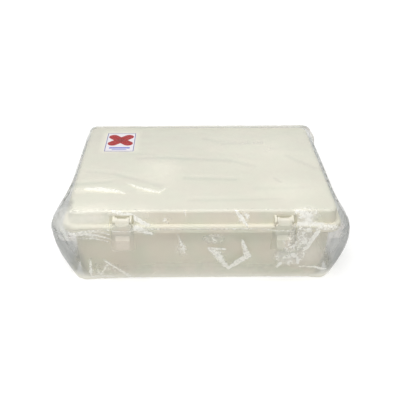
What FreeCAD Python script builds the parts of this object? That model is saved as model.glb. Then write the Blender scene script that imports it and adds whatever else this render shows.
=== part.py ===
import FreeCAD, Part
import os
from math import acos, atan2, cos, radians, sin, sqrt, tan

# First aid box: a shallow two-part moulded case with a wide joint rim, two snap latches on
# the front of the lid and two pinned hinges at the back.
# Millimetres. Origin on the floor under the centre of the case, +X along the front from left
# to right, +Y to the back, +Z up. The front of the case faces -Y.

os.makedirs("parts", exist_ok=True)
Vector = FreeCAD.Vector

# Case, measured over the joint rim
case_length = 300.0
case_depth = 226.0
rim_corner_radius = 17.0
wall = 2.2
edge_break = 0.6

# Base shell
base_height = 71.2
base_rim_thickness = 4.5
skirt_thickness = 2.2
base_setback = 9.4
base_draft = 2.9
base_corner_radius = 14.0
base_edge_radius = 4.0
base_floor = 2.4
foot_ring_width = 14.0
foot_ring_height = 0.9
lip_height = 2.0

# Lid shell
lid_height = 19.8
lid_rim_thickness = 3.8
lid_rim_edge_radius = 2.4
lid_rim_parting_break = 0.6
lid_ledge = 5.5
lid_draft = 3.6
lid_corner_radius = 11.0
lid_edge_radius = 3.4
lid_top = 2.4
lid_rib_width = 1.6
lid_rib_height = 1.4
lid_rib_pitch = 72.0

# Seal in the lid's rim, and the tongue on the base that bears on it
seal_inset = 4.2
seal_width = 2.8
seal_thickness = 1.3
groove_clearance = 0.1
tongue_width = 1.2
tongue_height = 0.8
tongue_gap = 0.1

# Dividers and the slots that hold them
divider_thickness = 1.8
divider_slot_clearance = 0.25
divider_drop = 3.0
divider_row = 18.0
cross_divider_spacing = 92.0
slot_rib_width = 1.6
slot_rib_depth = 3.0
scallop_radius = 11.0
scallop_depth = 7.0

# Hinges
hinge_spacing = 170.0
hinge_length = 38.0
knuckle_radius = 3.5
knuckle_gap = 0.4
hinge_pin_radius = 1.25
pin_clearance = 0.05
pin_end_inset = 0.5
gusset_thickness = 2.0
gusset_height = 12.0

# Latches
latch_spacing = 171.0
latch_head_width = 15.0
latch_head_radius = 4.4
latch_head_lift = 1.6
latch_cheek = 2.4
latch_recess = 1.0
latch_plate_width = 18.6
latch_plate_thickness = 2.4
latch_plate_rise = 4.4
latch_flange = 1.8
latch_tab_width = 14.6
latch_tab_length = 15.9
latch_tab_flare = 2.8
latch_tab_shoulder = 4.5
latch_tab_corner = 3.0
hook_width = 11.0
hook_reach = 2.6
hook_depth = 2.4
hook_clearance = 0.3
catch_width = 14.0
ear_thickness = 2.2
ear_radius = 2.5
ear_rise = 1.5
ear_clearance = 0.3
latch_swing_clearance = 0.4
latch_pin_radius = 1.1

# Clear bag that the case is packed in, slit along the joint so that the lid can open. Its film
# hangs from the rims and stands off in a pocket round each end, most at the front corners.
film_thickness = 0.4
film_clearance = 0.3
film_slit = 0.4
film_lean = 0.8
pocket_front_reach = 34.0
pocket_side_reach = 190.0
pocket_bulge = 12.5
pocket_belly_drop = 19.0
pocket_knee_height = 25.0
pocket_knee_inset = 5.5
pocket_foot_bulge = 5.0
pocket_top_drop = 2.7
pocket_top_bulge = 4.0

# Label on the lid
label_length = 37.5
label_depth = 54.0
label_thickness = 0.2
label_corner_radius = 2.0
label_left = 29.8
label_rear = 25.9

# Sizes that follow
rim_underside = base_height - base_rim_thickness
ledge_height = base_height + lid_rim_thickness
case_height = base_height + lid_height
front = -case_depth / 2
rear = case_depth / 2
base_slope = tan(radians(base_draft))
lid_slope = tan(radians(lid_draft))
floor_top = foot_ring_height + base_floor
divider_top = base_height - divider_drop


def outline(length, depth, radius, z):
    """Closed wire: a rectangle with round corners, centred on the Z axis, at height z."""
    x = length / 2
    y = depth / 2
    edges = []
    corners = [(x, y, 0), (-x, y, 90), (-x, -y, 180), (x, -y, 270)]
    ends = []
    for corner_x, corner_y, turn in corners:
        centre_x = corner_x - radius if corner_x > 0 else corner_x + radius
        centre_y = corner_y - radius if corner_y > 0 else corner_y + radius
        on_arc = []
        for angle in (turn, turn + 45, turn + 90):
            along = radians(angle)
            on_arc.append(Vector(centre_x + radius * cos(along), centre_y + radius * sin(along), z))
        ends.append(on_arc)
    for i, on_arc in enumerate(ends):
        edges.append(Part.Arc(*on_arc).toShape())
        following = ends[(i + 1) % len(ends)]
        edges.append(Part.LineSegment(on_arc[2], following[0]).toShape())
    return Part.Wire(edges)


def slab(length, depth, radius, low, high):
    """Straight-sided block with round corners."""
    return Part.Face(outline(length, depth, radius, low)).extrude(Vector(0, 0, high - low))


def drafted(length, depth, radius, slope, low, high, datum):
    """Block with sloped sides. The three sizes hold at height datum and grow with height."""
    wires = []
    for z in (low, high):
        grown = slope * (z - datum)
        wires.append(outline(length + 2 * grown, depth + 2 * grown, radius + grown, z))
    return Part.makeLoft(wires, True, True)


def edges_at(shape, z):
    """Edges that lie flat at height z."""
    found = []
    for edge in shape.Edges:
        box = edge.BoundBox
        if abs(box.ZMin - z) < 1e-4 and abs(box.ZMax - z) < 1e-4:
            found.append(edge)
    return found


def ring(inset, width, low, high):
    """Band that follows the rim, its centre line inset from the rim's outer edge."""
    bands = []
    for grown in (width / 2, -width / 2):
        length = case_length - 2 * inset + 2 * grown
        depth = case_depth - 2 * inset + 2 * grown
        bands.append(slab(length, depth, rim_corner_radius - inset + grown, low, high))
    return bands[0].cut(bands[1])


def prism(points, x_low, x_high):
    """Solid along X over a closed outline of (outward, height) points in front of the rim.

    Outward is measured from the rim's front edge, height from the ledge of the lid's rim.
    """
    corners = [Vector(x_low, front - outward, ledge_height + height) for outward, height in points]
    corners.append(corners[0])
    return Part.Face(Part.makePolygon(corners)).extrude(Vector(x_high - x_low, 0, 0))


def rod(radius, x_low, x_high, y, z):
    """Cylinder along X."""
    return Part.makeCylinder(radius, x_high - x_low, Vector(x_low, y, z), Vector(1, 0, 0))


def tangent_point(centre, radius, point, side):
    """Where the line from a point touches a circle, on the given side (+1 left, -1 right)."""
    across = centre[0] - point[0]
    rise = centre[1] - point[1]
    distance = sqrt(across * across + rise * rise)
    toward_point = atan2(-rise, -across)
    angle = toward_point + side * acos(radius / distance)
    return (centre[0] + radius * cos(angle), centre[1] + radius * sin(angle))


def fused(shapes):
    """One solid from touching shapes, with the seams between flush faces removed."""
    whole = shapes[0].fuse(shapes[1:]) if len(shapes) > 1 else shapes[0]
    return whole.removeSplitter()


def export(node, shape):
    solids = shape.Solids
    kept = solids[0] if len(solids) == 1 else Part.makeCompound(solids)
    kept.exportStep("parts/" + node + ".step")


# Base wall as drafted blocks, all from the same outline under the rim
def base_block(offset, low, high):
    """Block on the outline of the base wall, moved outwards by offset."""
    length = case_length - 2 * base_setback + 2 * offset
    depth = case_depth - 2 * base_setback + 2 * offset
    radius = base_corner_radius + offset
    return drafted(length, depth, radius, base_slope, low, high, rim_underside)


def cross_divider_places():
    """Middle of each cross divider along X."""
    return [-cross_divider_spacing / 2, cross_divider_spacing / 2]


# Guide ribs stand on the inside of the walls in pairs, one pair for each end of a divider
def guide_ribs():
    band = base_block(-wall / 2, floor_top - base_floor / 2, divider_top)
    band = band.cut(base_block(-wall - slot_rib_depth, 0, base_height))
    beside = divider_thickness / 2 + divider_slot_clearance
    posts = []
    height = case_height
    for side in (-1, 1):
        offset = side * (beside + slot_rib_width / 2) - slot_rib_width / 2
        for x in cross_divider_places():
            posts.append(Part.makeBox(slot_rib_width, case_depth, height, Vector(x + offset, front, 0)))
        row = Vector(-case_length / 2, divider_row + offset, 0)
        posts.append(Part.makeBox(case_length, slot_rib_width, height, row))
    return [band.common(post) for post in posts]


def hinge_places():
    """Low end of each hinge along X."""
    return [side * hinge_spacing / 2 - hinge_length / 2 for side in (-1, 1)]


hinge_y = rear + knuckle_gap + knuckle_radius
hinge_z = base_height
knuckle_length = (hinge_length - 2 * knuckle_gap) / 3
rim_bite = 0.6


def knuckle(x_low, web_low, bite):
    """Hinge barrel with its web, which starts at height web_low and ends bite inside the rim."""
    x_high = x_low + knuckle_length
    barrel = rod(knuckle_radius, x_low, x_high, hinge_y, hinge_z)
    corner = Vector(x_low, rear - bite, web_low)
    web = Part.makeBox(knuckle_length, hinge_y - rear + bite, knuckle_radius, corner)
    return barrel.fuse(web)


def hinge_bores():
    radius = hinge_pin_radius + pin_clearance
    return [rod(radius, low - 1, low + hinge_length + 1, hinge_y, hinge_z) for low in hinge_places()]


# Gussets under the rim carry the hinge load into the back wall
def hinge_gussets():
    gussets = []
    for low in hinge_places():
        for x in (low, low + hinge_length - gusset_thickness):
            wall_y = rear - base_setback - wall / 2
            corners = [
                Vector(x, wall_y, rim_underside + rim_bite),
                Vector(x, rear - edge_break, rim_underside + rim_bite),
                Vector(x, rear - edge_break, rim_underside),
                Vector(x, wall_y, rim_underside - gusset_height),
            ]
            corners.append(corners[0])
            gussets.append(Part.Face(Part.makePolygon(corners)).extrude(Vector(gusset_thickness, 0, 0)))
    return gussets


def rim_channel():
    """Hollow under the base rim, which leaves a plate on top and a skirt along the edge."""
    length = case_length - 2 * skirt_thickness
    depth = case_depth - 2 * skirt_thickness
    radius = rim_corner_radius - skirt_thickness
    return slab(length, depth, radius, rim_underside - 1, base_height - wall)


def catch_pads():
    """Blocks behind the skirt for the latch hooks to bear on."""
    pads = []
    for centre in latch_places():
        corner = Vector(centre - catch_width / 2, front + skirt_thickness / 2, rim_underside)
        reach = hook_reach + edge_break - skirt_thickness / 2
        pads.append(Part.makeBox(catch_width, reach, base_rim_thickness - wall / 2, corner))
    return pads


def base_shell():
    body = base_block(0, 0, base_height + lip_height)
    body = body.makeFillet(base_edge_radius, edges_at(body, 0))
    rim = slab(case_length, case_depth, rim_corner_radius, rim_underside, base_height)
    rim = rim.makeChamfer(edge_break, edges_at(rim, rim_underside))
    rim = rim.cut(rim_channel())
    cavity = base_block(-wall, floor_top, base_height + 2 * lip_height)
    cavity = cavity.makeChamfer(base_edge_radius - wall, edges_at(cavity, floor_top))
    shell = body.fuse(rim).cut(cavity)

    inset = base_edge_radius + foot_ring_width + base_slope * rim_underside + base_setback
    recess_length = case_length - 2 * inset
    recess_depth = case_depth - 2 * inset
    recess = slab(recess_length, recess_depth, base_corner_radius / 2, -1, foot_ring_height)
    shell = shell.cut(recess)

    tongue = ring(seal_inset, tongue_width, base_height - rim_bite, base_height + tongue_height)
    knuckles = []
    for low in hinge_places():
        for x in (low, low + hinge_length - knuckle_length):
            knuckles.append(knuckle(x, hinge_z - knuckle_radius, rim_bite))
    additions = guide_ribs() + knuckles + hinge_gussets() + catch_pads()
    return fused([shell, tongue] + additions).cut(hinge_bores())


# Latch places, as (outward, height) from the top front edge of the lid's rim
latch_pin_height = latch_head_radius + latch_head_lift
wall_behind_pin = lid_ledge + lid_slope * latch_pin_height
latch_pin_setback = wall_behind_pin - latch_swing_clearance - latch_head_radius
latch_pin = (-latch_pin_setback, latch_pin_height)
latch_pin_y = front + latch_pin_setback
latch_pin_z = ledge_height + latch_pin_height
plate_back = max(ear_radius + latch_swing_clearance - latch_pin_setback, 2 * latch_swing_clearance)
plate_front = plate_back + latch_plate_thickness
plate_bottom = -lid_rim_thickness - base_rim_thickness - hook_clearance
ear_inside = latch_head_width / 2 + ear_clearance
ear_outside = ear_inside + ear_thickness


def latch_places():
    return [-latch_spacing / 2, latch_spacing / 2]


# Two ears on the front wall of the lid carry each latch on its pin
def latch_ears():
    foot = (-lid_rim_edge_radius / 2, -lid_rim_edge_radius / 2)
    top = latch_pin_height + ear_radius + ear_rise
    shoulder = (-lid_ledge - lid_slope * top, top)
    into_wall = shoulder[0] - wall / 2
    web_points = [
        (into_wall, foot[1]),
        foot,
        tangent_point(latch_pin, ear_radius, foot, 1),
        latch_pin,
        tangent_point(latch_pin, ear_radius, shoulder, -1),
        shoulder,
        (into_wall, top),
    ]
    ears = []
    for centre in latch_places():
        for x in (centre - ear_outside, centre + ear_inside):
            web = prism(web_points, x, x + ear_thickness)
            eye = rod(ear_radius, x, x + ear_thickness, latch_pin_y, latch_pin_z)
            ears.append(web.fuse(eye))
    return ears


def latch_bores():
    radius = latch_pin_radius + pin_clearance
    bores = []
    for centre in latch_places():
        low = centre - ear_outside - 1
        high = centre + ear_outside + 1
        bores.append(rod(radius, low, high, latch_pin_y, latch_pin_z))
    return bores


def lid_block(offset, low, high):
    """Block on the outline of the lid wall at the ledge, moved outwards by offset."""
    length = case_length - 2 * lid_ledge + 2 * offset
    depth = case_depth - 2 * lid_ledge + 2 * offset
    radius = lid_corner_radius + offset
    return drafted(length, depth, radius, -lid_slope, low, high, ledge_height)


# Shallow ribs stiffen the flat top of the lid from inside
def lid_ribs():
    ceiling = case_height - lid_top
    low = ceiling - lid_rib_height
    inside = lid_block(-wall / 2, low, ceiling + lid_top / 2)
    ribs = []
    for i in (-1, 0, 1):
        x = i * lid_rib_pitch - lid_rib_width / 2
        ribs.append(Part.makeBox(lid_rib_width, case_depth, case_height, Vector(x, front, low)))
    for i in (-1, 1):
        y = i * lid_rib_pitch / 2 - lid_rib_width / 2
        corner = Vector(-case_length / 2, y, low)
        ribs.append(Part.makeBox(case_length, lid_rib_width, case_height, corner))
    return [inside.common(rib) for rib in ribs]


def lid_shell():
    body = lid_block(0, base_height, case_height)
    body = body.makeFillet(lid_edge_radius, edges_at(body, case_height))
    rim = slab(case_length, case_depth, rim_corner_radius, base_height, ledge_height)
    rim = rim.makeFillet(lid_rim_edge_radius, edges_at(rim, ledge_height))
    rim = rim.makeChamfer(lid_rim_parting_break, edges_at(rim, base_height))
    ceiling = case_height - lid_top
    cavity = lid_block(-wall, base_height - 1, ceiling)
    cavity = cavity.makeChamfer(lid_edge_radius / 2, edges_at(cavity, ceiling))
    shell = body.fuse(rim).cut(cavity)
    groove_top = base_height + tongue_height + tongue_gap + seal_thickness
    groove_width = seal_width + 2 * groove_clearance
    shell = shell.cut(ring(seal_inset, groove_width, base_height - 1, groove_top))
    knuckles = []
    for low in hinge_places():
        knuckles.append(knuckle(low + knuckle_length + knuckle_gap, hinge_z, lid_rim_edge_radius))
    whole = fused([shell] + knuckles + latch_ears() + lid_ribs())
    return whole.cut(hinge_bores() + latch_bores())


def seal_gasket():
    low = base_height + tongue_height + tongue_gap
    return ring(seal_inset, seal_width, low, low + seal_thickness)


def latch(centre):
    """Snap latch: a head between the ears, a plate over the rims, a hook and a finger tab."""
    half_head = latch_head_width / 2
    half_plate = latch_plate_width / 2
    pieces = []

    # Cheeks at both ends of the head, and a lower barrel and web between them
    barrel_radius = latch_head_radius - latch_recess
    web_top = latch_plate_rise - latch_recess
    head_low = latch_pin_height - latch_head_radius / 2
    for x_low, x_high, radius, top in (
        (-half_head, -half_head + latch_cheek, latch_head_radius, latch_plate_rise),
        (-half_head + latch_cheek, half_head - latch_cheek, barrel_radius, web_top),
        (half_head - latch_cheek, half_head, latch_head_radius, latch_plate_rise),
    ):
        plate_corner = (plate_front, top)
        touch = tangent_point(latch_pin, radius, plate_corner, 1)
        pieces.append(rod(radius, centre + x_low, centre + x_high, latch_pin_y, latch_pin_z))
        web = [latch_pin, touch, plate_corner, (plate_front, 0), (plate_back, 0), (plate_back, head_low)]
        pieces.append(prism(web, centre + x_low, centre + x_high))

    # Plate that stands in front of both rims, with a flange turned back along each side
    plate = [(plate_back, web_top), (plate_front, web_top), (plate_front, plate_bottom), (plate_back, plate_bottom)]
    pieces.append(prism(plate, centre - half_plate, centre + half_plate))
    flange_top = -latch_pin_radius
    flange_back = latch_swing_clearance
    flange = [
        (flange_back, flange_top - latch_flange),
        (plate_back + edge_break, flange_top),
        (plate_back + edge_break, plate_bottom),
        (flange_back, plate_bottom),
    ]
    for x in (centre - half_plate, centre + half_plate - latch_flange):
        pieces.append(prism(flange, x, x + latch_flange))

    # Hook that reaches back under the base rim
    hook = [
        (plate_front, plate_bottom),
        (-hook_reach, plate_bottom),
        (-hook_reach, plate_bottom - hook_depth / 2),
        (plate_front, plate_bottom - hook_depth),
    ]
    pieces.append(prism(hook, centre - hook_width / 2, centre + hook_width / 2))

    # Finger tab, stepped forward by a sloped shoulder, with round lower corners
    shoulder_end = plate_bottom - latch_tab_shoulder
    tab_end = plate_bottom - latch_tab_length
    tab = prism(
        [
            (plate_back, plate_bottom + rim_bite),
            (plate_front, plate_bottom + rim_bite),
            (plate_front, plate_bottom),
            (plate_front + latch_tab_flare, shoulder_end),
            (plate_front + latch_tab_flare, tab_end),
            (plate_back + latch_tab_flare, tab_end),
            (plate_back + latch_tab_flare, shoulder_end),
            (plate_back, plate_bottom),
        ],
        centre - latch_tab_width / 2,
        centre + latch_tab_width / 2,
    )
    corners = []
    for edge in tab.Edges:
        box = edge.BoundBox
        if box.XLength < 1e-4 and box.ZMax < ledge_height + tab_end + 1e-4:
            corners.append(edge)
    pieces.append(tab.makeFillet(latch_tab_corner, corners))
    bore = rod(
        latch_pin_radius + pin_clearance,
        centre - half_head - 1,
        centre + half_head + 1,
        latch_pin_y,
        latch_pin_z,
    )
    return fused(pieces).cut(bore)


def latch_pin_rod(centre):
    reach = ear_outside - pin_end_inset
    return rod(latch_pin_radius, centre - reach, centre + reach, latch_pin_y, latch_pin_z)


def hinge_pin(low):
    high = low + hinge_length - pin_end_inset
    return rod(hinge_pin_radius, low + pin_end_inset, high, hinge_y, hinge_z)


# The dividers fill the cavity, less the clearance at both ends, and cross in half-laps
def divider_core():
    core = base_block(-wall - divider_slot_clearance, floor_top, divider_top)
    return core.makeChamfer(base_edge_radius - wall, edges_at(core, floor_top))


lap_height = (floor_top + divider_top) / 2
lap_width = divider_thickness + 2 * divider_slot_clearance


def scallop(along_x, x, y):
    """Finger hollow in the top edge of a divider."""
    direction = Vector(0, 1, 0) if along_x else Vector(1, 0, 0)
    length = 4 * divider_thickness
    start = Vector(x, y, divider_top + scallop_radius - scallop_depth) - direction * (length / 2)
    return Part.makeCylinder(scallop_radius, length, start, direction)


def long_divider():
    sheet = Part.makeBox(
        case_length, divider_thickness, case_height,
        Vector(-case_length / 2, divider_row - divider_thickness / 2, 0),
    )
    plate = divider_core().common(sheet)
    cuts = []
    for x in cross_divider_places():
        corner = Vector(x - lap_width / 2, divider_row - lap_width, lap_height - divider_slot_clearance)
        cuts.append(Part.makeBox(lap_width, 2 * lap_width, case_height, corner))
    for x in (-cross_divider_spacing, 0, cross_divider_spacing):
        cuts.append(scallop(True, x, divider_row))
    return plate.cut(cuts)


def cross_divider(x):
    sheet = Part.makeBox(
        divider_thickness, case_depth, case_height,
        Vector(x - divider_thickness / 2, front, 0),
    )
    plate = divider_core().common(sheet)
    corner = Vector(x - lap_width, divider_row - lap_width / 2, 0)
    lap = Part.makeBox(2 * lap_width, lap_width, lap_height, corner)
    front_middle = (front + base_setback + divider_row) / 2
    return plate.cut([lap, scallop(False, x, front_middle)])


# Film pockets of the bag, as levels of (height, growth past the rim's edge, bulge)
film_out = film_clearance + film_thickness
base_pocket_levels = (
    (film_clearance, -base_setback, pocket_foot_bulge),
    (pocket_knee_height, -pocket_knee_inset, pocket_bulge),
    (base_height - pocket_belly_drop, film_out, pocket_bulge),
    (base_height - film_slit / 2, film_out, pocket_bulge),
)
lid_pocket_levels = (
    (base_height + film_slit / 2, film_out + film_lean, pocket_bulge - film_lean),
    (case_height - pocket_top_drop, film_out - lid_ledge, pocket_top_bulge),
)


def pocket_line(grown, bulge):
    """Film's course round a front corner, from the front to the rear, as (x, y) at the right."""
    x = case_length / 2 + grown
    y = case_depth / 2 + grown
    rounding = rim_corner_radius * (1 - sqrt(0.5))
    slant = bulge * sqrt(0.5)
    return [
        (x - pocket_front_reach, -y),
        (x - rim_corner_radius, -y - slant / 2),
        (x - rounding + slant, rounding - y - slant),
        (x + bulge, rim_corner_radius - y),
        (x + bulge * 0.8, pocket_side_reach / 4 - y),
        (x + bulge * 0.3, pocket_side_reach / 2 - y),
        (x, pocket_side_reach - y),
    ]


def facet(*corners):
    return Part.Face(Part.makePolygon([*corners, corners[0]]))


def border(wall):
    """Points once round a wall that is given as rows of points."""
    return wall[0] + [row[-1] for row in wall[1:]] + wall[-1][-2::-1] + [row[0] for row in wall[-2::-1]]


def film_pockets(levels):
    """Thin film round both ends of the case, in flat facets from level to level."""
    pockets = []
    for side in (-1, 1):
        walls = []
        for inset in (0, film_thickness):
            wall = []
            for height, grown, bulge in levels:
                course = pocket_line(grown - inset, bulge)
                wall.append([Vector(side * x, y, height) for x, y in course])
            walls.append(wall)
        facets = []
        for wall in walls:
            for low, high in zip(wall, wall[1:]):
                for i in range(1, len(low)):
                    facets.append(facet(low[i - 1], low[i], high[i]))
                    facets.append(facet(low[i - 1], high[i], high[i - 1]))
        outside, inside = [border(wall) for wall in walls]
        for i in range(1, len(outside)):
            facets.append(facet(outside[i - 1], outside[i], inside[i], inside[i - 1]))
        skin = Part.Shell(facets)
        skin.sewShape()
        pocket = Part.Solid(skin)
        pockets.append(pocket if pocket.Volume > 0 else pocket.reversed())
    return Part.makeCompound(pockets)


def label():
    x = -case_length / 2 + label_left + label_length / 2
    y = rear - label_rear - label_depth / 2
    sticker = slab(label_length, label_depth, label_corner_radius, 0, label_thickness)
    return sticker.translated(Vector(x, y, case_height))


export("base_shell", base_shell())
export("lid_shell", lid_shell())
export("seal_gasket", seal_gasket())
export("long_divider", long_divider())
export("label", label())
export("base_bag_film", film_pockets(base_pocket_levels))
export("lid_bag_film", film_pockets(lid_pocket_levels))
for side, latch_centre, hinge_low, divider_x in zip(
    ("left", "right"), latch_places(), hinge_places(), cross_divider_places()
):
    export(side + "_latch", latch(latch_centre))
    export(side + "_latch_pin", latch_pin_rod(latch_centre))
    export(side + "_hinge_pin", hinge_pin(hinge_low))
    export(side + "_cross_divider", cross_divider(divider_x))
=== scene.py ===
import math

import bpy
import numpy as np
from mathutils import Matrix, Vector


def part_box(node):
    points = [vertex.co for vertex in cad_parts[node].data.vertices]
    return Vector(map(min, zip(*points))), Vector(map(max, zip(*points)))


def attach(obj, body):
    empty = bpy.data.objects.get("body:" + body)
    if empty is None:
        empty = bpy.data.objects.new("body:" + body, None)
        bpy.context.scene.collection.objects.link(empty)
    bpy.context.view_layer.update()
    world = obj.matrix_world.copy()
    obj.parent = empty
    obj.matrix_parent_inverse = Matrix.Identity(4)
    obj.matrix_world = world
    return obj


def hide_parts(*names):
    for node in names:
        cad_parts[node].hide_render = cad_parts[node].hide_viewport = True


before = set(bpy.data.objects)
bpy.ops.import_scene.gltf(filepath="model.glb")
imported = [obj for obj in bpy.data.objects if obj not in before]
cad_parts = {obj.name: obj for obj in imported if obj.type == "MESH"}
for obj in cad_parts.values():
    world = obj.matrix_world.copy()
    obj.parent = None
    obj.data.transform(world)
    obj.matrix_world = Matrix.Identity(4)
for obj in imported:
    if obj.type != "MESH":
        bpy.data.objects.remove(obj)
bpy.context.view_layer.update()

scene = bpy.context.scene
MM = 0.001

# Camera
# It stands two thirds of a metre in front of the box, a little left of its middle, and looks
# down on it by about 31 degrees, as one photographs a box on a table.
camera_place = Vector((-0.01917, -0.66069, 0.43511))
camera_pitch = math.radians(30.85)
camera_yaw = math.radians(1.60)
camera_roll = math.radians(0.59)
camera_lens = 55.8
camera_sensor = 36.0

forward = Vector((
    math.sin(camera_yaw) * math.cos(camera_pitch),
    math.cos(camera_yaw) * math.cos(camera_pitch),
    -math.sin(camera_pitch),
))
level = Vector((math.cos(camera_yaw), -math.sin(camera_yaw), 0.0))
upright = level.cross(forward)
right = level * math.cos(camera_roll) + upright * math.sin(camera_roll)
up = upright * math.cos(camera_roll) - level * math.sin(camera_roll)
camera_data = bpy.data.cameras.new("camera")
camera_data.lens = camera_lens
camera_data.sensor_width = camera_sensor
camera_data.sensor_fit = "HORIZONTAL"
camera_data.clip_start = 0.01
camera = bpy.data.objects.new("camera", camera_data)
turned = Matrix((right, up, -forward)).transposed().to_4x4()
camera.matrix_world = Matrix.Translation(camera_place) @ turned
scene.collection.objects.link(camera)
scene.camera = camera


# Base shell
# The base is a deep tray with a hollow rim all round, injection-moulded in one piece from
# ivory ABS. Its surface is satin with a fine spark texture, a little rubbed where it is handled.
class Socket:
    """One output of a node. Operators on it add Math nodes to the same tree."""

    def __init__(self, graph, source):
        self.graph = graph
        self.source = source

    def maths(self, operation, *others):
        return self.graph.node("ShaderNodeMath", {"operation": operation}, [self, *others])

    def __add__(self, other):
        return self.maths("ADD", other)

    __radd__ = __add__

    def __mul__(self, other):
        return self.maths("MULTIPLY", other)

    __rmul__ = __mul__

    def __sub__(self, other):
        return self.maths("SUBTRACT", other)

    def __rsub__(self, other):
        return self.graph.node("ShaderNodeMath", {"operation": "SUBTRACT"}, [other, self])

    def __truediv__(self, other):
        return self.maths("DIVIDE", other)

    def __pow__(self, other):
        return self.maths("POWER", other)

    def __abs__(self):
        return self.maths("ABSOLUTE")

    def most(self, other):
        return self.maths("MAXIMUM", other)

    def least(self, other):
        return self.maths("MINIMUM", other)

    def rise(self, low, high):
        """0 up to low and 1 from high, with a smooth step between; high may be the smaller."""
        settings = {"interpolation_type": "SMOOTHSTEP"}
        values = {"Value": self, "From Min": low, "From Max": high}
        return self.graph.node("ShaderNodeMapRange", settings, values)

    def parts(self):
        """The three numbers of a vector."""
        split = self.graph.node("ShaderNodeSeparateXYZ", {}, [self]).source.node
        return [Socket(self.graph, out) for out in split.outputs]


class Graph:
    """A node tree, written as plain Python."""

    def __init__(self, tree):
        self.tree = tree
        self.tree.nodes.clear()

    def node(self, kind, settings=None, values=(), out=0):
        made = self.tree.nodes.new(kind)
        for name, value in (settings or {}).items():
            setattr(made, name, value)
        pairs = values.items() if isinstance(values, dict) else enumerate(values)
        for key, value in pairs:
            self.feed(made.inputs[key], value)
        return Socket(self, made.outputs[out])

    def feed(self, socket, value):
        if isinstance(value, Socket):
            self.tree.links.new(value.source, socket)
        else:
            socket.default_value = value

    def noise(self, where, scale=1.0, detail=2.0, roughness=0.5):
        values = {"Vector": where, "Scale": scale, "Detail": detail, "Roughness": roughness}
        return self.node("ShaderNodeTexNoise", {}, values)


class Finish(Graph):
    """One material: the node tree that ends in its shader."""

    def __init__(self, name):
        self.material = bpy.data.materials.new(name)
        self.material.use_nodes = True
        super().__init__(self.material.node_tree)
        self.output = self.tree.nodes.new("ShaderNodeOutputMaterial")
        self.place = self.node("ShaderNodeTexCoord", out="Object")

    def stretched(self, x, y, z):
        """Object coordinates, with a pattern drawn out along the axes."""
        return self.node("ShaderNodeMapping", {}, {"Vector": self.place, "Scale": (x, y, z)})

    def blend(self, factor, first, second):
        mix = self.tree.nodes.new("ShaderNodeMix")
        mix.data_type = "RGBA"
        self.feed(mix.inputs["Factor"], factor)
        self.feed(mix.inputs[6], first)
        self.feed(mix.inputs[7], second)
        return Socket(self, mix.outputs[2])

    def bump(self, height, strength, distance):
        values = {"Height": height, "Strength": strength, "Distance": distance}
        return self.node("ShaderNodeBump", {}, values)

    def surface(self, **inputs):
        values = {}
        for name, value in inputs.items():
            values[name.replace("_", " ").title().replace("Ior", "IOR")] = value
        shader = self.node("ShaderNodeBsdfPrincipled", {}, values)
        self.tree.links.new(shader.source, self.output.inputs["Surface"])
        return self.material


def srgb(red, green, blue):
    """A colour as it looks on screen, from 0 to 255, as linear values."""
    linear = []
    for part in (red / 255, green / 255, blue / 255):
        linear.append(part / 12.92 if part <= 0.04045 else ((part + 0.055) / 1.055) ** 2.4)
    return (*linear, 1.0)


def wear(node, material):
    """Gives a carried-over node its material."""
    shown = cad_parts[node]
    shown.data.materials.clear()
    shown.data.materials.append(material)


def ivory_abs(name, pale, deep, spark_scale):
    """Satin moulded ABS, a little cloudy, with flow marks, fine scuffs and a spark texture."""
    finish = Finish(name)
    mottle = finish.noise(finish.place, scale=18.0, detail=3.0)
    flow = finish.noise(finish.stretched(14.0, 90.0, 40.0))
    colour = finish.blend(mottle * 0.7 + flow * 0.3, deep, pale)
    scuff = finish.noise(finish.stretched(60.0, 900.0, 500.0), detail=3.0).rise(0.66, 0.74)
    spark = finish.noise(finish.place, scale=spark_scale)
    roughness = 0.44 + 0.1 * mottle - 0.07 * scuff
    texture = finish.bump(spark, strength=0.18, distance=0.12 * MM)
    return finish.surface(base_color=colour, roughness=roughness, normal=texture)


base_abs = ivory_abs("base_abs", srgb(236, 233, 217), srgb(229, 226, 208), 1500.0)
wear("base_shell", base_abs)


# Lid shell
# The lid is a shallow cap of the same ivory ABS, with a round-edged rim that lies on the base's
# rim, three hinge knuckles and the latch ears moulded on. Its flat top is polished smoother.
lid_abs = ivory_abs("lid_abs", srgb(237, 234, 219), srgb(231, 228, 211), 2000.0)
wear("lid_shell", lid_abs)


# Seal
# A square cord of grey sponge rubber lies in a groove under the lid's rim. Its cut surface is
# dull and shows small open cells.
sponge = Finish("sponge_rubber")
cells = sponge.node("ShaderNodeTexVoronoi", {}, {"Vector": sponge.place, "Scale": 1800.0})
cell_walls = cells.rise(0.15, 0.5)
sponge_grey = sponge.blend(cell_walls, srgb(92, 93, 92), srgb(128, 129, 127))
wear("seal_gasket", sponge.surface(
    base_color=sponge_grey, roughness=0.92 - 0.1 * cell_walls,
    normal=sponge.bump(cell_walls, strength=0.5, distance=0.3 * MM),
))


# Hinge pins and latch pins
# Straight steel rods, drawn and cut to length, are pressed through the knuckles and the ears.
# They keep the fine lengthwise marks of the drawing die.
steel = Finish("drawn_steel")
drawing_marks = steel.noise(steel.stretched(40.0, 6000.0, 6000.0))
steel_grey = steel.blend(drawing_marks, srgb(178, 179, 180), srgb(208, 208, 206))
drawn_steel = steel.surface(
    base_color=steel_grey, metallic=1.0, roughness=0.24 + 0.16 * drawing_marks,
    normal=steel.bump(drawing_marks, strength=0.2, distance=0.05 * MM),
)
for node in ("left_hinge_pin", "right_hinge_pin", "left_latch_pin", "right_latch_pin"):
    wear(node, drawn_steel)


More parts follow.
